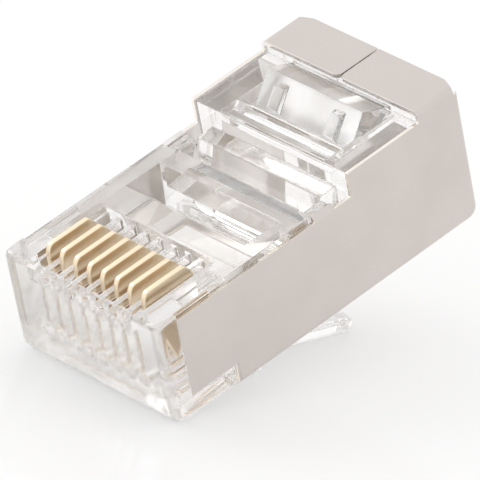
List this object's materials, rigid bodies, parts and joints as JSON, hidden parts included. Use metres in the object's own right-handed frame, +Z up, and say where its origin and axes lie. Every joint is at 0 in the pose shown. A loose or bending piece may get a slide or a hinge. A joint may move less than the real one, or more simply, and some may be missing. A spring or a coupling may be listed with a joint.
{
  "type": "rj45 modular plug",
  "caption": "Shielded eight-way modular plug: clear housing in a folded metal shell, gold blade contacts, jacket clamp and sprung locking latch, ready to crimp.",
  "frame": {"origin": "centre of the bounding box on the surface that the plug lies on", "axes": "+Z up from that surface, +Y towards the cable end, -Y towards the nose, X across the contacts; the plug leans nose down on its chin and the tip of its latch, as it lies by itself"},
  "size_m": [0.0116, 0.0225, 0.0151],
  "materials": {
    "housing": "moulded clear polycarbonate, glossy",
    "jacket_clamp": "moulded clear polycarbonate, glossy",
    "latch": "moulded clear polycarbonate, glossy",
    "shield": "nickel-plated brass sheet, satin",
    "contacts": "gold-plated phosphor bronze"
  },
  "bodies": {
    "plug": {"housing": "housing", "shield": "shield"},
    "latch": {"latch": "latch"},
    "jacket_clamp": {"jacket_clamp": "jacket_clamp"},
    "contact_1": {"contact_1": "contacts"},
    "contact_2": {"contact_2": "contacts"},
    "contact_3": {"contact_3": "contacts"},
    "contact_4": {"contact_4": "contacts"},
    "contact_5": {"contact_5": "contacts"},
    "contact_6": {"contact_6": "contacts"},
    "contact_7": {"contact_7": "contacts"},
    "contact_8": {"contact_8": "contacts"}
  },
  "joints": [
    {"name": "latch_flex", "type": "hinge", "parent": "plug", "child": "latch", "pos_m": [0, -0.0074, 0.00061], "axis": [1, 0, 0], "range_deg": [0, 15], "stiffness_Nm_per_rad": 0.25},
    {"name": "jacket_clamp_crimp", "type": "hinge", "parent": "plug", "child": "jacket_clamp", "pos_m": [0, 0.00621, 0.01333], "axis": [1, 0, 0], "range_deg": [0, 30]},
    {"name": "contact_1_crimp", "type": "slide", "parent": "plug", "child": "contact_1", "axis": [0, 0.3498, -0.9368], "range_m": [0, 0.00085]},
    {"name": "contact_2_crimp", "type": "slide", "parent": "plug", "child": "contact_2", "axis": [0, 0.3498, -0.9368], "range_m": [0, 0.00085]},
    {"name": "contact_3_crimp", "type": "slide", "parent": "plug", "child": "contact_3", "axis": [0, 0.3498, -0.9368], "range_m": [0, 0.00085]},
    {"name": "contact_4_crimp", "type": "slide", "parent": "plug", "child": "contact_4", "axis": [0, 0.3498, -0.9368], "range_m": [0, 0.00085]},
    {"name": "contact_5_crimp", "type": "slide", "parent": "plug", "child": "contact_5", "axis": [0, 0.3498, -0.9368], "range_m": [0, 0.00085]},
    {"name": "contact_6_crimp", "type": "slide", "parent": "plug", "child": "contact_6", "axis": [0, 0.3498, -0.9368], "range_m": [0, 0.00085]},
    {"name": "contact_7_crimp", "type": "slide", "parent": "plug", "child": "contact_7", "axis": [0, 0.3498, -0.9368], "range_m": [0, 0.00085]},
    {"name": "contact_8_crimp", "type": "slide", "parent": "plug", "child": "contact_8", "axis": [0, 0.3498, -0.9368], "range_m": [0, 0.00085]}
  ]
}
